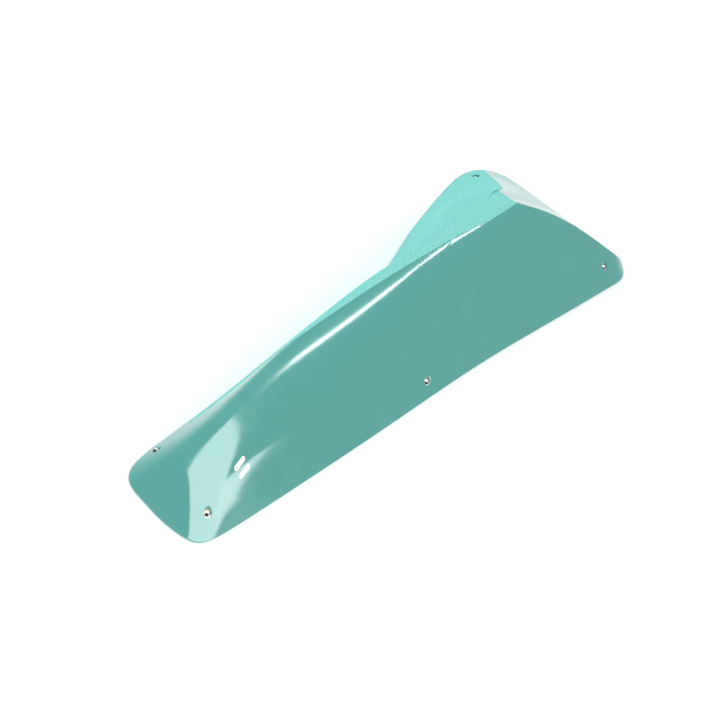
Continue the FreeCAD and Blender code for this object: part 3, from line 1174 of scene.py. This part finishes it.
@dataclass(frozen=True)
class Studio:
    """Pale floor, soft lights and the camera. Metres."""

    eye: tuple[float, float, float] = (-1.28252, -0.50249, 1.67922)
    right: tuple[float, float, float] = (0.718613, -0.604652, 0.343499)
    down: tuple[float, float, float] = (-0.409200, -0.767050, -0.494156)
    lens_mm: float = 57.5
    air: float = 0.88
    floor_size: float = 16.0

    def camera(self) -> None:
        """Stand the camera over the nose, looking along the body."""
        right, down = Vector(self.right).normalized(), Vector(self.down).normalized()
        data = bpy.data.cameras.new("camera")
        data.lens = self.lens_mm
        data.sensor_width = 36.0
        data.clip_end = 50.0
        camera = bpy.data.objects.new("camera", data)
        rows = Matrix((right, -down, -right.cross(down))).transposed()
        camera.matrix_world = Matrix.Translation(self.eye) @ rows.to_4x4()
        bpy.context.scene.collection.objects.link(camera)
        bpy.context.scene.camera = camera

    def floor(self) -> None:
        """A seamless white sheet under the part."""
        deselect_all()
        bpy.ops.mesh.primitive_plane_add(size=self.floor_size, location=(0, 0, -0.0005))
        obj = bpy.context.object
        obj.name = obj.data.name = "studio_floor"
        material, tree, place = new_material("matte_white_paper")
        fibre = add(tree, "ShaderNodeTexNoise", {"Vector": place, "Scale": 900.0, "Detail": 2.0})
        colour = ramp(tree, fibre.outputs["Fac"], ((0.3, "FAFAFA"), (0.7, "FDFDFD")))
        close_material(tree, {"Base Color": colour, "Roughness": 0.9})
        obj.data.materials.append(material)

    def lights(self) -> None:
        """A tilted large soft box on the front side, a narrow one overhead and pale air."""
        world = bpy.data.worlds.new("pale_air")
        world.use_nodes = True
        world.node_tree.nodes["Background"].inputs["Color"].default_value = (1.0, 1.0, 1.0, 1.0)
        world.node_tree.nodes["Background"].inputs["Strength"].default_value = self.air
        bpy.context.scene.world = world
        for box in SOFT_BOXES:
            box.build()

    def build(self) -> None:
        """Set the whole studio up."""
        self.camera()
        self.floor()
        self.lights()
        bpy.context.scene.view_settings.view_transform = "Standard"


SOFT_BOXES = (
    SoftBox("front_soft_box", (-1.39, -1.28, 1.04), (3.22, 0.0, 0.0), (0.0, 2.67, 1.86), 6.5,
            LightUse.SHEEN),
    SoftBox("low_side_box", (0.46, -2.22, 0.40), (0.50, 0.0, 0.0), (0.0, 0.86, 0.60), 6.5,
            LightUse.SHEEN),
    SoftBox("ridge_strip", (0.80, 0.01, 2.0), (0.62, -0.22, 0.0), (0.03, 0.085, 0.0), 20.0,
            LightUse.SHEEN),
    SoftBox("open_sky_box", (-0.60, -0.60, 2.2), (3.4, 0.0, 0.0), (0.0, 3.0, 0.6), 0.30,
            LightUse.BODY),
    SoftBox("back_fill_box", (0.10, 2.00, 1.4), (-3.0, 0.0, 0.0), (0.0, -1.2, 1.6), 0.9,
            LightUse.BODY),
)


def main() -> None:
    """Build every sub-assembly in order."""
    skin = Gelcoat().build()
    shell = Shell(BodyForm())
    shell.build_gelcoat(skin)
    shell.build_laminate(GlassLaminate().build(), skin)
    shell.build_grip(GripCoat().build())
    shell.build_mark(MarkInk().build())
    ScrewCups(tuple(s[0] for s in shell.form.screws)).build(TurnedSteel().build())
    Woodwork(frame["nodes"]).dress()
    Studio().build()


if __name__ == "__main__":
    logging.basicConfig(level=logging.INFO, format="%(name)s %(message)s")
    main()
